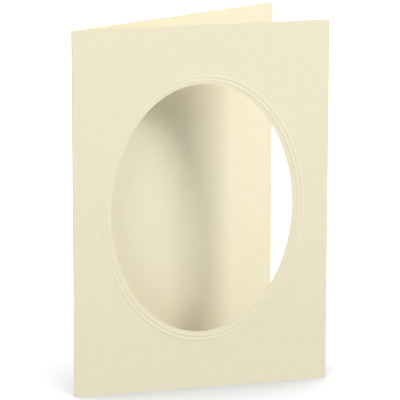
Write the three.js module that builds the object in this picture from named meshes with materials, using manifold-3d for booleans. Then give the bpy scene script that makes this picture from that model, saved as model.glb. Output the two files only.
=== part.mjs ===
// Passe-partout card: one sheet of card, embossed, die-cut and folded once, standing half open
import * as THREE from 'three';
import { mergeVertices } from 'three/addons/utils/BufferGeometryUtils.js';
import Module from 'manifold-3d';

const wasm = await Module();
wasm.setup();

// Driving dimensions, in millimetres and degrees
const frontPanelWidth = 120;
const backPanelWidth = 120;
const panelHeight = 169;
const cardThickness = 0.3;
const foldInnerRadius = 0.2;
const openingAngle = 25;

// The oval window, placed on the front panel from the fold and from the bottom edge
const windowWidth = 85.2;
const windowHeight = 115.5;
const windowFromFold = 60.3;
const windowFromBottom = 84.5;

// The embossed oval ring: two fine raised lines, hollow behind, round the window
const rimAtSides = 2.55;
const rimAtTopAndBottom = 1.8;
const lineCount = 2;
const linePitch = 1.85;
const lineWidth = 1.8;
const lineRise = 0.12;

// The embossing die landed a little off the cutting die, to the right and down
const embossShiftRight = 0.45;
const embossShiftDown = 0.2;

// Fineness of the facets
const ovalSteps = 96;
const stepsAcrossLine = 6;
const foldSteps = 8;

// Overlap of pieces that are joined into one, and reach of a cutter past the face it cuts
const overlap = 0.6;

// Corners of neighbouring facets that lie closer than this are one point
const samePoint = 1e-5;

const ivoryCard = new THREE.MeshStandardMaterial({ color: 0xeee7ca, roughness: 0.88, metalness: 0 });

// A closed three.js geometry as a solid for cutting and joining
function solidOf(geometry) {
  const bare = geometry.clone();
  bare.deleteAttribute('normal');
  bare.deleteAttribute('uv');
  const merged = mergeVertices(bare, samePoint);
  const vertProperties = new Float32Array(merged.attributes.position.array);
  const triVerts = new Uint32Array(merged.index.array);
  return new wasm.Manifold(new wasm.Mesh({ numProp: 3, vertProperties, triVerts }));
}

// A solid as a three.js geometry again
function geometryOf(solid) {
  const mesh = solid.getMesh();
  const geometry = new THREE.BufferGeometry();
  geometry.setAttribute('position', new THREE.BufferAttribute(mesh.vertProperties, 3));
  geometry.setIndex(new THREE.BufferAttribute(mesh.triVerts, 1));
  geometry.computeVertexNormals();
  return geometry;
}

// Plan of the folded sheet: two straight walls of even thickness, joined by the round of the fold.
// The front panel's outer face lies on y = 0 and the fold's outermost line on x = 0.
const foldOuterRadius = foldInnerRadius + cardThickness;
const fold = new THREE.Vector2(foldOuterRadius, foldOuterRadius);
const opening = THREE.MathUtils.degToRad(openingAngle);
const alongBack = new THREE.Vector2(Math.cos(opening), Math.sin(opening));
const outOfBack = new THREE.Vector2(-alongBack.y, alongBack.x);
const backReach = backPanelWidth - foldOuterRadius;

function planOfSheet() {
  const backEdgeOuter = fold.clone().addScaledVector(outOfBack, foldOuterRadius).addScaledVector(alongBack, backReach);
  const backEdgeInner = fold.clone().addScaledVector(outOfBack, foldInnerRadius).addScaledVector(alongBack, backReach);
  const facingFront = -Math.PI / 2;
  const facingBack = Math.PI / 2 + opening - 2 * Math.PI;
  const plan = new THREE.Shape();
  plan.moveTo(frontPanelWidth, 0);
  plan.lineTo(frontPanelWidth, cardThickness);
  plan.lineTo(fold.x, cardThickness);
  plan.absarc(fold.x, fold.y, foldInnerRadius, facingFront, facingBack, true);
  plan.lineTo(backEdgeInner.x, backEdgeInner.y);
  plan.lineTo(backEdgeOuter.x, backEdgeOuter.y);
  plan.absarc(fold.x, fold.y, foldOuterRadius, facingBack, facingFront, false);
  plan.lineTo(frontPanelWidth, 0);
  return plan;
}

function foldedSheet() {
  return solidOf(new THREE.ExtrudeGeometry(planOfSheet(), {
    depth: panelHeight,
    bevelEnabled: false,
    curveSegments: foldSteps,
  }));
}

// An upright oval prism through the front panel, standing along y
function ovalThroughFront(centreX, centreZ, halfWidth, halfHeight) {
  const oval = new THREE.Shape();
  oval.absellipse(centreX, -centreZ, halfWidth, halfHeight, 0, 2 * Math.PI, false, 0);
  const geometry = new THREE.ExtrudeGeometry(oval, {
    depth: cardThickness + 2 * overlap,
    bevelEnabled: false,
    curveSegments: ovalSteps / 2,
  });
  geometry.rotateX(-Math.PI / 2);
  geometry.translate(0, -overlap, 0);
  return solidOf(geometry);
}

// The crest of the first embossed line is the oval that the whole ring is laid out from
const embossX = windowFromFold + embossShiftRight;
const embossZ = windowFromBottom - embossShiftDown;
const crestHalfWidth = windowWidth / 2 + rimAtSides;
const crestHalfHeight = windowHeight / 2 + rimAtTopAndBottom;
const ringInnerEdge = -Math.max(rimAtSides, rimAtTopAndBottom) - embossShiftRight - embossShiftDown - overlap;
const lastLineFoot = (lineCount - 1) * linePitch + lineWidth / 2;

// Height of the relief at a distance outside the first crest: a raised cosine at each line
function reliefAt(distance) {
  let rise = 0;
  for (let line = 0; line < lineCount; line += 1) {
    const fromCrest = Math.abs(distance - line * linePitch);
    if (fromCrest < lineWidth / 2) {
      rise += lineRise * 0.5 * (1 + Math.cos((2 * Math.PI * fromCrest) / lineWidth));
    }
  }
  return rise;
}

// Stations across the ring, from its inner edge to its outer edge
function stationsAcrossRing() {
  const stations = [ringInnerEdge];
  for (let line = 0; line < lineCount; line += 1) {
    for (let step = 0; step <= stepsAcrossLine; step += 1) {
      stations.push(line * linePitch + lineWidth * (step / stepsAcrossLine - 0.5));
    }
  }
  stations.push(lastLineFoot + 2 * overlap);
  return stations;
}

// The ring is a closed wavy section turned once round. Its radius then becomes the distance
// outside the first crest, measured square to an oval in place of a circle.
function embossedRing() {
  const turned = crestHalfWidth;
  const stations = stationsAcrossRing();
  const front = stations.map((s) => new THREE.Vector2(turned + s, -reliefAt(s)));
  const back = stations.map((s) => new THREE.Vector2(turned + s, cardThickness - reliefAt(s)));
  const section = [...front, ...back.reverse(), front[0].clone()];
  const geometry = new THREE.LatheGeometry(section, ovalSteps);
  const position = geometry.attributes.position;
  const point = new THREE.Vector3();
  const crest = new THREE.Vector2();
  const outward = new THREE.Vector2();
  for (let i = 0; i < position.count; i += 1) {
    point.fromBufferAttribute(position, i);
    const turn = Math.atan2(point.z, point.x);
    const distance = Math.hypot(point.x, point.z) - turned;
    crest.set(crestHalfWidth * Math.cos(turn), crestHalfHeight * Math.sin(turn));
    outward.set(crestHalfHeight * Math.cos(turn), crestHalfWidth * Math.sin(turn)).normalize();
    crest.addScaledVector(outward, distance);
    position.setXYZ(i, embossX + crest.x, point.y, embossZ + crest.y);
  }
  return solidOf(geometry);
}

// The sheet in the order it is worked: embossed first, then die-cut, on the folded form
function foldedCard() {
  const seat = ovalThroughFront(
    embossX,
    embossZ,
    crestHalfWidth + lastLineFoot + overlap,
    crestHalfHeight + lastLineFoot + overlap,
  );
  const window = ovalThroughFront(windowFromFold, windowFromBottom, windowWidth / 2, windowHeight / 2);
  return foldedSheet().subtract(seat).add(embossedRing()).subtract(window);
}

const card = new THREE.Mesh(geometryOf(foldedCard()), ivoryCard);
card.name = 'folded_card';

// The origin is the middle of the whole card's box, on the surface that the card stands on
const backEdgeX = fold.x + alongBack.x * backReach;
const backEdgeY = fold.y + alongBack.y * backReach + outOfBack.y * foldOuterRadius;
const rightmost = Math.max(frontPanelWidth, backEdgeX);
card.position.set(-rightmost / 2, (lineRise - backEdgeY) / 2, 0);

const model = new THREE.Group();
model.add(card);

export default model;
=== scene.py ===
import math

import bpy
from mathutils import Matrix, Vector


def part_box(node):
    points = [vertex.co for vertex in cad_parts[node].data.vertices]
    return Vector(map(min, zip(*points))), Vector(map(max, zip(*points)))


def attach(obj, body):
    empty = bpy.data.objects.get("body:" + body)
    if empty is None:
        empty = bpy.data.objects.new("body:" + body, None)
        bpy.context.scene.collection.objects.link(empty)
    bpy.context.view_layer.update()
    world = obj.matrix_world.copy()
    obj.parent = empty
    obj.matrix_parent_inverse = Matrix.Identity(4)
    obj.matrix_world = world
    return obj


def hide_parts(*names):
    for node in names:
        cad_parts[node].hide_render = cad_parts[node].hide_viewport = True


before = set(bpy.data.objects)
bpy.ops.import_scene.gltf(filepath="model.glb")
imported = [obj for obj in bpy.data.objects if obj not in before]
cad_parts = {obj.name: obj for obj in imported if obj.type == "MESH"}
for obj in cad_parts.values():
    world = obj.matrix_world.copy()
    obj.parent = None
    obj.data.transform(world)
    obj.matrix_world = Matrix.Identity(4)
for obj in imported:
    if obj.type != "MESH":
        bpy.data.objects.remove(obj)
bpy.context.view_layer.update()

# The camera stands to the left of the card and a little above it, about 1.4 m off, with a long
# lens, so that the front panel is seen nearly square on, and the back panel shows above it and
# through the window.
photo_width = 400
focal_pixels = 2956.9
film_width = 36
camera_place = Vector((-0.35391, -1.28194, 0.39872))
camera_turn_left = math.radians(-15.698)
camera_tilt_up = math.radians(-13.365)
camera_roll = math.radians(-0.088)
level_ahead = Matrix.Rotation(math.radians(90), 4, "X")

camera_data = bpy.data.cameras.new("camera")
camera_data.sensor_width = film_width
camera_data.lens = focal_pixels / photo_width * film_width
camera = bpy.data.objects.new("camera", camera_data)
camera.matrix_world = (
    Matrix.Translation(camera_place)
    @ Matrix.Rotation(camera_turn_left, 4, "Z")
    @ Matrix.Rotation(camera_tilt_up, 4, "X")
    @ Matrix.Rotation(camera_roll, 4, "Y")
    @ level_ahead
)
bpy.context.scene.collection.objects.link(camera)
bpy.context.scene.camera = camera
bpy.context.scene.view_settings.view_transform = "Standard"


# The card: one sheet of cream card of about 220 g/m2, embossed with a ring of two fine oval lines,
# die-cut with an oval window inside the ring, then creased and folded once. The flat blank is drawn
# first, and a node tree then embosses and folds it, as the press does.
mm = 0.001
panel_width = 120 * mm
panel_height = 169 * mm
thickness = 0.3 * mm
fold_inner_radius = 0.2 * mm
opening_angle = math.radians(25)
window_centre = Vector((60.3, 84.5)) * mm
window_half = Vector((42.6, 57.75)) * mm

# From the cut to the first line's crest, at the sides and at the top and bottom
rim = Vector((2.55, 1.8)) * mm
line_count = 2
line_pitch = 1.85 * mm
line_width = 1.8 * mm
line_rise = 0.12 * mm

# The embossing die landed a little off the cutting die, to the right and down
emboss_shift = Vector((0.45, -0.2)) * mm
ring_centre = window_centre + emboss_shift
crest_half = window_half + rim

fold_radius = fold_inner_radius + thickness / 2
flat_start = fold_inner_radius + thickness
flat_width = panel_width - flat_start
fold_length = fold_radius * (math.pi - opening_angle)

# How finely the blank is drawn
steps_across = 84
steps_up = 120
rim_steps = 3
steps_per_line = 14
margin_steps = 5
fold_steps = 14
back_steps = 60

# The distance from the ring that is given to every point away from it
far_from_ring = 1.0


def side_points(start, end, steps):
    """Points along one side of the front panel, without the last one."""
    return [start + (end - start) * (i / steps) for i in range(steps)]


def front_panel_border():
    """The front panel's outline, anticlockwise from its lower left corner, beside the fold."""
    corners = [Vector((0, 0)), Vector((flat_width, 0))]
    corners += [Vector((flat_width, panel_height)), Vector((0, panel_height))]
    border = []
    for i, steps in enumerate((steps_across, steps_up, steps_across, steps_up)):
        border += side_points(corners[i], corners[(i + 1) % 4], steps)
    return border


def oval_point(turn, half, centre, outside=0.0):
    """A point at a distance outside an oval, measured square to it, in the blank's own plane."""
    on_oval = Vector((half.x * math.cos(turn), half.y * math.sin(turn)))
    outward = Vector((half.y * math.cos(turn), half.x * math.sin(turn))).normalized()
    return centre - Vector((flat_start, 0)) + on_oval + outward * outside


def ring_distances():
    """Distances outside the first crest at which the ring is drawn, foot to foot of each line."""
    return [
        line * line_pitch + line_width * (step / steps_per_line - 0.5)
        for line in range(line_count)
        for step in range(steps_per_line + 1)
    ]


def loop_between(first, last, share):
    """The loop that lies a share of the way from one loop to another."""
    return [a + (b - a) * share for a, b in zip(first, last)]


def front_panel_loops(border):
    """Loops of points from the window's edge to the border, each with its distance from the crest."""
    centre = ring_centre - Vector((flat_start, 0))
    turns = [
        math.atan2((p.y - centre.y) / crest_half.y, (p.x - centre.x) / crest_half.x)
        for p in border
    ]
    distances = ring_distances()
    cut = [oval_point(turn, window_half, window_centre) for turn in turns]
    ring = [[oval_point(turn, crest_half, ring_centre, d) for turn in turns] for d in distances]
    loops = [(loop_between(cut, ring[0], i / rim_steps), -far_from_ring) for i in range(rim_steps)]
    loops += zip(ring, distances)
    for i in range(1, margin_steps + 1):
        loops.append((loop_between(ring[-1], border, i / margin_steps), far_from_ring))
    return loops


def columns_behind():
    """Places of the columns of points on the fold and the back panel, which lie left of 0."""
    on_fold = [-fold_length * (i + 1) / fold_steps for i in range(fold_steps)]
    on_back = [-fold_length - flat_width * (i + 1) / back_steps for i in range(back_steps)]
    return on_fold + on_back


def draw_blank():
    """The flat blank as a mesh, lying in X and Z with the fold's start on the front panel at 0."""
    border = front_panel_border()
    around = len(border)
    verts = []
    from_crest = []
    faces = []
    for loop, distance in front_panel_loops(border):
        verts += [(x, 0.0, z) for x, z in loop]
        from_crest += [distance] * around
    for outer in range(around, len(verts), around):
        inner = outer - around
        for i in range(around):
            j = (i + 1) % around
            faces.append((inner + i, outer + i, outer + j, inner + j))

    # The fold and the back panel go on from the front panel's left side, column by column
    last_loop = len(verts) - around
    upper_left = 2 * steps_across + steps_up
    right = [last_loop + (upper_left + row) % around for row in range(steps_up, -1, -1)]
    for place in columns_behind():
        left = range(len(verts), len(verts) + steps_up + 1)
        verts += [(place, 0.0, panel_height * row / steps_up) for row in range(steps_up + 1)]
        from_crest += [far_from_ring] * (steps_up + 1)
        for row in range(steps_up):
            faces.append((left[row], right[row], right[row + 1], left[row + 1]))
        right = left

    mesh = bpy.data.meshes.new("blank")
    mesh.from_pydata(verts, [], faces)
    mesh.attributes.new("from_crest", "FLOAT", "POINT").data.foreach_set("value", from_crest)
    mesh.validate()
    return mesh


class Wire:
    """The output of a node. Sums on wires add Math nodes to the tree."""

    def __init__(self, nodes, socket):
        self.nodes = nodes
        self.socket = socket

    def math(self, operation, *others):
        sockets = dict(enumerate((self, *others)))
        return self.nodes.add("ShaderNodeMath", {"operation": operation}, sockets)

    def __add__(self, other):
        return self.math("ADD", other)

    __radd__ = __add__

    def __sub__(self, other):
        return self.math("SUBTRACT", other)

    def __rsub__(self, other):
        return self.nodes.add("ShaderNodeMath", {"operation": "SUBTRACT"}, {0: other, 1: self})

    def __mul__(self, other):
        return self.math("MULTIPLY", other)

    __rmul__ = __mul__

    def __truediv__(self, other):
        return self.math("DIVIDE", other)

    def __rtruediv__(self, other):
        return self.nodes.add("ShaderNodeMath", {"operation": "DIVIDE"}, {0: other, 1: self})


class Nodes:
    """A node tree that is filled by add()."""

    def __init__(self, tree):
        self.tree = tree

    def add(self, kind, settings=None, inputs=None, output=0):
        """Adds a node: its settings first, then a value or a wire for each socket named or numbered."""
        node = self.tree.nodes.new(kind)
        for name, value in (settings or {}).items():
            setattr(node, name, value)
        for key, value in (inputs or {}).items():
            if isinstance(value, Wire):
                self.tree.links.new(value.socket, node.inputs[key])
            else:
                node.inputs[key].default_value = value
        return Wire(self, node.outputs[output]) if len(node.outputs) else None


def new_press_tree():
    """A new node tree with the press's named inputs, and the wires that they come in on."""
    tree = bpy.data.node_groups.new("emboss_and_fold", "GeometryNodeTree")
    tree.interface.new_socket("Blank", in_out="INPUT", socket_type="NodeSocketGeometry")
    for name in ("Line rise", "Line width", "Line pitch", "Last line", "Fold radius", "Fold turn"):
        tree.interface.new_socket(name, in_out="INPUT", socket_type="NodeSocketFloat")
    tree.interface.new_socket("Material", in_out="INPUT", socket_type="NodeSocketMaterial")
    tree.interface.new_socket("Card", in_out="OUTPUT", socket_type="NodeSocketGeometry")
    nodes = Nodes(tree)
    entry = tree.nodes.new("NodeGroupInput")
    given = {socket.name: Wire(nodes, socket) for socket in entry.outputs if socket.name}
    return nodes, given


def line_height(nodes, given):
    """How far a point is lifted: a raised cosine at the nearest line, and nothing off the lines."""
    number = {"data_type": "FLOAT"}
    distance = nodes.add("GeometryNodeInputNamedAttribute", number, {"Name": "from_crest"})
    nearest = (distance / given["Line pitch"]).math("ROUND").math("MAXIMUM", 0.0)
    nearest = nearest.math("MINIMUM", given["Last line"])
    off_line = (distance - nearest * given["Line pitch"]).math("ABSOLUTE")
    off_line = off_line.math("MINIMUM", given["Line width"] * 0.5)
    wave = (off_line * (2 * math.pi) / given["Line width"]).math("COSINE")
    return given["Line rise"] * 0.5 * (1 + wave)


def folded_place(nodes, given, height):
    """Where a point of the blank comes to lie, seen from the middle of the fold's round."""
    blank_place = nodes.add("GeometryNodeInputPosition")
    along = nodes.add("ShaderNodeSeparateXYZ", {}, {"Vector": blank_place}, "X")
    up = nodes.add("ShaderNodeSeparateXYZ", {}, {"Vector": blank_place}, "Z")
    turn = (0 - along / given["Fold radius"]).math("MAXIMUM", 0.0).math("MINIMUM", given["Fold turn"])
    on_front = along.math("MAXIMUM", 0.0)
    on_back = (0 - along - given["Fold radius"] * given["Fold turn"]).math("MAXIMUM", 0.0)
    back_x = 0 - given["Fold turn"].math("COSINE")
    back_y = given["Fold turn"].math("SINE")
    round_x = 0 - given["Fold radius"] * turn.math("SINE")
    round_y = 0 - given["Fold radius"] * turn.math("COSINE")
    return nodes.add("ShaderNodeCombineXYZ", {}, {
        "X": round_x + on_front + on_back * back_x,
        "Y": round_y + on_back * back_y - height,
        "Z": up,
    })


def emboss_and_fold_tree():
    """The press and the fold as a rule: it lifts the oval lines, then wraps the blank round the fold."""
    nodes, given = new_press_tree()
    place = folded_place(nodes, given, line_height(nodes, given))
    moved = nodes.add("GeometryNodeSetPosition", {}, {"Geometry": given["Blank"], "Position": place})
    real = nodes.add("GeometryNodeRealizeInstances", {}, {"Geometry": moved})
    done = nodes.add("GeometryNodeSetMaterial", {}, {"Geometry": real, "Material": given["Material"]})
    nodes.add("NodeGroupOutput", {}, {"Card": done})
    return nodes.tree


def card_material():
    """Smooth uncoated ivory card: matt, with a faint cloud in its colour and a fine fibre grain."""
    light_ivory = (0.905, 0.845, 0.640, 1)
    deep_ivory = (0.868, 0.802, 0.590, 1)
    clouds_per_metre = 300
    cloud_share = 0.9
    fibres_per_metre = 2600
    fibre_squeeze = (1, 1, 0.35)
    fibre_share = 0.65
    grain_depth = 0.04 * mm
    grain_strength = 0.12
    least_roughness = 0.82
    fibre_roughness = 0.1
    faint_gloss = 0.25

    material = bpy.data.materials.new("cream_card")
    material.use_nodes = True
    material.node_tree.nodes.clear()
    nodes = Nodes(material.node_tree)
    place = nodes.add("ShaderNodeTexCoord", {}, {}, "Object")

    # Cloudy formation of the pulp, about three millimetres across
    cloud = nodes.add("ShaderNodeTexNoise", {}, {
        "Vector": place,
        "Scale": clouds_per_metre,
        "Detail": 2,
    })
    # Fibres lie mostly along the sheet's height
    lying = nodes.add("ShaderNodeMapping", {}, {"Vector": place, "Scale": fibre_squeeze})
    fibre = nodes.add("ShaderNodeTexNoise", {}, {
        "Vector": lying,
        "Scale": fibres_per_metre,
        "Detail": 4,
        "Roughness": 0.6,
    })
    tone = 0.5 + cloud_share * (cloud - 0.5) + fibre_share * (fibre - 0.5)
    ivories = {0: tone, 6: deep_ivory, 7: light_ivory}
    grain = {"Height": fibre, "Strength": grain_strength, "Distance": grain_depth}
    shader = nodes.add("ShaderNodeBsdfPrincipled", {}, {
        "Base Color": nodes.add("ShaderNodeMix", {"data_type": "RGBA"}, ivories, 2),
        "Roughness": least_roughness + fibre_roughness * fibre,
        "Specular IOR Level": faint_gloss,
        "Normal": nodes.add("ShaderNodeBump", {}, grain),
    })
    nodes.add("ShaderNodeOutputMaterial", {}, {"Surface": shader})
    return material


def set_inputs(modifier, values):
    """Sets a node tree's inputs, each by the identifier of the socket that has its name."""
    for item in modifier.node_group.interface.items_tree:
        if item.name in values:
            modifier[item.identifier] = values[item.name]


def plain_mesh(piece):
    """Works the piece's modifiers into its mesh."""
    evaluated = piece.evaluated_get(bpy.context.evaluated_depsgraph_get())
    mesh = bpy.data.meshes.new_from_object(evaluated)
    mesh.name = piece.name
    piece.modifiers.clear()
    blank = piece.data
    piece.data = mesh
    bpy.data.meshes.remove(blank)


card = bpy.data.objects.new("card_sheet", draw_blank())
bpy.context.scene.collection.objects.link(card)
press = card.modifiers.new("press", "NODES")
press.node_group = emboss_and_fold_tree()
set_inputs(press, {
    "Line rise": line_rise,
    "Line width": line_width,
    "Line pitch": line_pitch,
    "Last line": float(line_count - 1),
    "Fold radius": fold_radius,
    "Fold turn": math.pi - opening_angle,
    "Material": card_material(),
})

# The drawn blank is the middle of the sheet's thickness
wall = card.modifiers.new("wall", "SOLIDIFY")
wall.thickness = thickness
wall.offset = 0
wall.use_even_offset = True
plain_mesh(card)

# The middle of the fold's round, in the part's own place
cad_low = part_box("folded_card")[0]
fold_middle = Vector((cad_low.x + flat_start, cad_low.y + line_rise + flat_start, 0))
card.data.transform(Matrix.Translation(fold_middle))

# Faces that meet more sharply than this meet at a cut edge, which stays crisp
cut_edge_angle = math.radians(35)
card.data.shade_smooth()
card.data.set_sharp_from_angle(angle=cut_edge_angle)
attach(card, "root")
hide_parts("folded_card")


# The table: a plain white sweep. It reads as paper white, and keeps the soft shade round the card's
# foot, where the standing sheet hides a part of the room from it.
floor_reach = 8.0
shade_reach = 0.15
shade_depth = 1.5
open_glow = 1.18
white_in_lamplight = (0.25, 0.25, 0.25, 1)
white_to_card = (0.4, 0.4, 0.4, 1)


def seen_directly(nodes):
    """1 for what the camera sees itself, in a mirror or through glass, and 0 for light on the card."""
    rays = ("Is Camera Ray", "Is Glossy Ray", "Is Transmission Ray")
    camera_ray, mirror_ray, glass_ray = (nodes.add("ShaderNodeLightPath", {}, {}, ray) for ray in rays)
    return camera_ray.math("MAXIMUM", mirror_ray).math("MAXIMUM", glass_ray)


def floor_material():
    """Matt white: to the camera a glow that dims in the card's shade, and to the card plain paper."""
    material = bpy.data.materials.new("white_floor")
    material.use_nodes = True
    material.node_tree.nodes.clear()
    nodes = Nodes(material.node_tree)
    open_sky = nodes.add("ShaderNodeAmbientOcclusion", {}, {"Distance": shade_reach}, "AO")
    level = open_glow * open_sky.math("POWER", shade_depth)
    glow = nodes.add("ShaderNodeEmission", {}, {"Strength": level})
    lit = nodes.add("ShaderNodeBsdfDiffuse", {}, {"Color": white_in_lamplight})
    shown = nodes.add("ShaderNodeAddShader", {}, {0: lit, 1: glow})
    to_card = nodes.add("ShaderNodeBsdfDiffuse", {}, {"Color": white_to_card})
    both = nodes.add("ShaderNodeMixShader", {}, {0: seen_directly(nodes), 1: to_card, 2: shown})
    nodes.add("ShaderNodeOutputMaterial", {}, {"Surface": both})
    return material


floor_corners = [(-floor_reach, -floor_reach, 0), (floor_reach, -floor_reach, 0)]
floor_corners += [(floor_reach, floor_reach, 0), (-floor_reach, floor_reach, 0)]
floor_mesh = bpy.data.meshes.new("floor")
floor_mesh.from_pydata(floor_corners, [], [(0, 1, 2, 3)])
floor_mesh.materials.append(floor_material())
floor = bpy.data.objects.new("floor", floor_mesh)
bpy.context.scene.collection.objects.link(floor)


# The light: a key softbox to the right and above, a weaker and wider one to the left, a weak one far
# to the right that lights the inner faces through the gap, one behind for the back, and a dim room.
card_middle = Vector((0, 0, panel_height / 2))
room_level = 0.3


def softbox(name, right_of_front, above, distance, size, watts):
    """A square lamp that looks at the card. Its direction is in degrees from the front panel's face."""
    side, rise = math.radians(right_of_front), math.radians(above)
    toward = Vector((math.sin(side) * math.cos(rise), -math.cos(side) * math.cos(rise), math.sin(rise)))
    data = bpy.data.lights.new(name, "AREA")
    data.shape = "SQUARE"
    data.size = size
    data.energy = watts
    lamp = bpy.data.objects.new(name, data)
    lamp.location = card_middle + toward * distance
    lamp.rotation_euler = toward.to_track_quat("Z", "Y").to_euler()
    bpy.context.scene.collection.objects.link(lamp)


softbox("key", right_of_front=54.4, above=31.5, distance=1.0, size=0.35, watts=6.27)
softbox("fill", right_of_front=-50, above=15, distance=0.9, size=0.5, watts=3.75)
softbox("side", right_of_front=85, above=30, distance=0.9, size=0.5, watts=1.55)
softbox("back", right_of_front=-160, above=20, distance=0.9, size=0.5, watts=3.5)

world = bpy.data.worlds.new("room")
world.use_nodes = True
world.node_tree.nodes.clear()
nodes = Nodes(world.node_tree)
level = room_level + (1 - room_level) * seen_directly(nodes)
room = nodes.add("ShaderNodeBackground", {}, {"Color": (1, 1, 1, 1), "Strength": level})
nodes.add("ShaderNodeOutputWorld", {}, {"Surface": room})
bpy.context.scene.world = world
